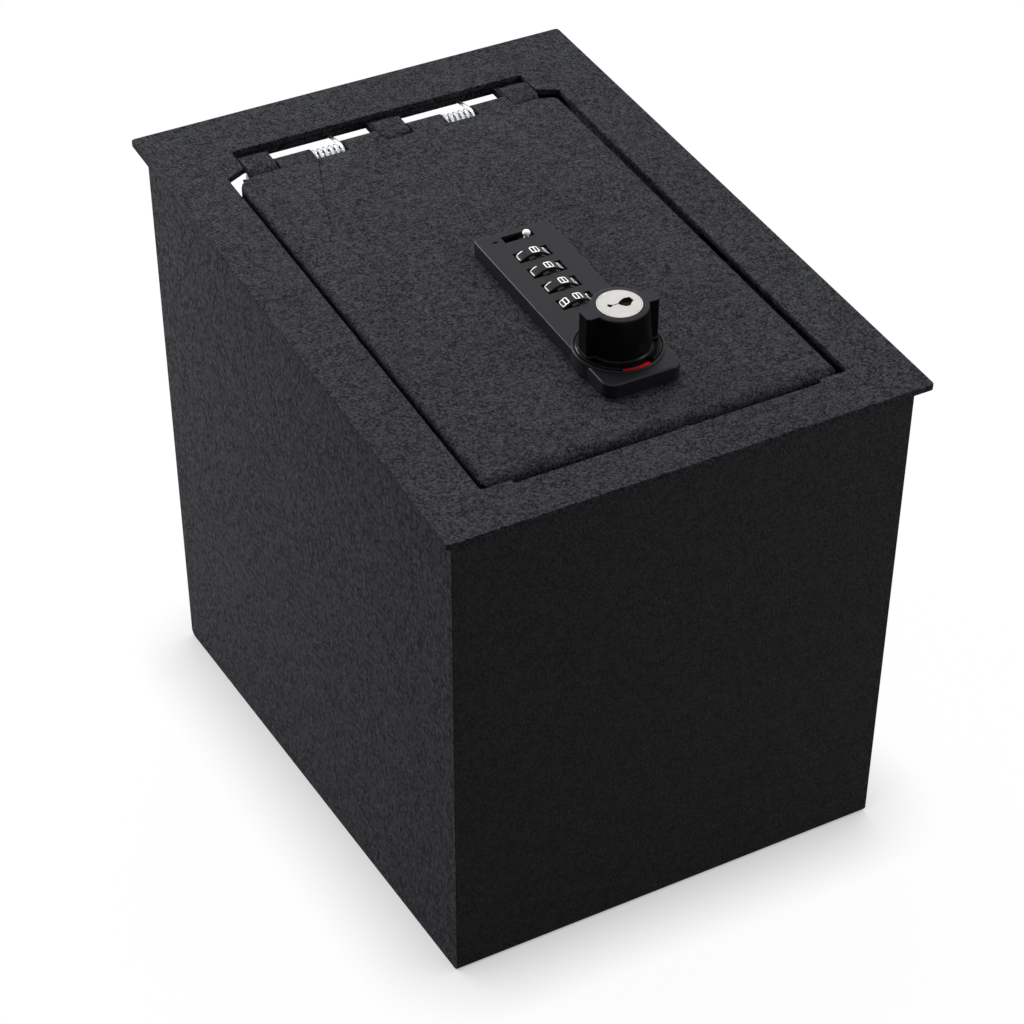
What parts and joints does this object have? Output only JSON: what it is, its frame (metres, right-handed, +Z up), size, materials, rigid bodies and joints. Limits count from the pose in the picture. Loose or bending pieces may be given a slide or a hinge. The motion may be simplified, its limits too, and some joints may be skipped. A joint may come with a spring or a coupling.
{
  "type": "console safe",
  "caption": "Steel console safe with a flush hinged lid in a flange, and a combination knob lock that slides bolts under the flange.",
  "frame": {"origin": "bottom centre of the bounding box, on the surface that the sloping bottom stands on", "axes": "+Z up; +Y to the hinge side; +X to the right seen from the lock's front. The flange is tilted 9.05 degrees about X, higher at the hinge"},
  "size_m": [0.2, 0.3172, 0.2631],
  "materials": {
    "powder_coat": "black leather-textured powder coat",
    "zinc": "bright zinc plate",
    "satin_black": "smooth satin black",
    "gloss_black": "gloss black",
    "nickel": "satin nickel",
    "wheel_black": "black plastic with white numbers",
    "brass": "plain brass",
    "white": "white plastic",
    "red": "red print",
    "green": "green print"
  },
  "bodies": {
    "body": {"flange_plate": "powder_coat", "body_wrap": "powder_coat", "left_side_panel": "powder_coat", "right_side_panel": "powder_coat", "lid_stop_left": "powder_coat", "lid_stop_right": "powder_coat", "hinge_leaf": "powder_coat", "hinge_pin": "zinc", "hinge_spring_left": "zinc", "hinge_spring_right": "zinc"},
    "lid": {"lid_panel": "powder_coat", "lock_housing": "satin_black", "lock_rear_case": "satin_black", "case_screw_1": "zinc", "case_screw_2": "zinc", "case_screw_3": "zinc", "case_screw_4": "zinc", "dial_axle": "zinc", "fence_bar": "brass", "detent_spring": "zinc", "indicator_red": "red", "indicator_green": "green", "bolt_guide_left": "zinc", "bolt_guide_right": "zinc", "bolt_guide_front": "zinc"},
    "knob": {"knob": "gloss_black", "knob_spindle": "zinc", "bolt_cam": "zinc", "cam_nut": "zinc"},
    "key_plug": {"key_plug": "nickel"},
    "bolt_left": {"bolt_left": "zinc", "follower_pin_left": "zinc"},
    "bolt_right": {"bolt_right": "zinc", "follower_pin_right": "zinc"},
    "bolt_front": {"bolt_front": "zinc", "follower_pin_front": "zinc"},
    "code_slider": {"code_slider": "white"},
    "wheel_1": {"number_wheel_1": "wheel_black", "gate_ring_1": "brass"},
    "wheel_2": {"number_wheel_2": "wheel_black", "gate_ring_2": "brass"},
    "wheel_3": {"number_wheel_3": "wheel_black", "gate_ring_3": "brass"},
    "wheel_4": {"number_wheel_4": "wheel_black", "gate_ring_4": "brass"}
  },
  "joints": [
    {"name": "lid_hinge", "type": "hinge", "parent": "body", "child": "lid", "pos_m": [0, 0.08894, 0.25067], "axis": [-1, 0, 0], "range_deg": [0, 90], "stiffness_Nm_per_rad": 0.38, "springref_deg": 89.95, "deforming": ["hinge_spring_left", "hinge_spring_right"]},
    {"name": "knob_turn", "type": "hinge", "parent": "lid", "child": "knob", "pos_m": [0.004, -0.09259, 0.22761], "axis": [0, -0.1574, 0.9875], "range_deg": [0, 90]},
    {"name": "key_turn", "type": "hinge", "parent": "knob", "child": "key_plug", "pos_m": [0.004, -0.09259, 0.22761], "axis": [0, -0.1574, 0.9875], "range_deg": [0, 90]},
    {"name": "bolt_left_slide", "type": "slide", "parent": "lid", "child": "bolt_left", "axis": [-1, 0, 0], "range_m": [0, 0.009]},
    {"name": "bolt_right_slide", "type": "slide", "parent": "lid", "child": "bolt_right", "axis": [1, 0, 0], "range_m": [0, 0.009]},
    {"name": "bolt_front_slide", "type": "slide", "parent": "lid", "child": "bolt_front", "axis": [0, -0.9875, -0.1574], "range_m": [0, 0.009]},
    {"name": "wheel_1_spin", "type": "hinge", "parent": "lid", "child": "wheel_1", "pos_m": [0.004, -0.06041, 0.23092], "axis": [0, 0.9875, 0.1574], "continuous": true},
    {"name": "wheel_2_spin", "type": "hinge", "parent": "lid", "child": "wheel_2", "pos_m": [0.004, -0.04895, 0.23274], "axis": [0, 0.9875, 0.1574], "continuous": true},
    {"name": "wheel_3_spin", "type": "hinge", "parent": "lid", "child": "wheel_3", "pos_m": [0.004, -0.0375, 0.23457], "axis": [0, 0.9875, 0.1574], "continuous": true},
    {"name": "wheel_4_spin", "type": "hinge", "parent": "lid", "child": "wheel_4", "pos_m": [0.004, -0.02604, 0.23639], "axis": [0, 0.9875, 0.1574], "continuous": true},
    {"name": "code_slide", "type": "slide", "parent": "lid", "child": "code_slider", "axis": [1, 0, 0], "range_m": [-0.008, 0]}
  ],
  "couplings": [
    {"joint": "bolt_left_slide", "follows": "knob_turn", "m_per_rad": 0.005729},
    {"joint": "bolt_right_slide", "follows": "knob_turn", "m_per_rad": 0.005729},
    {"joint": "bolt_front_slide", "follows": "knob_turn", "m_per_rad": 0.005729}
  ]
}
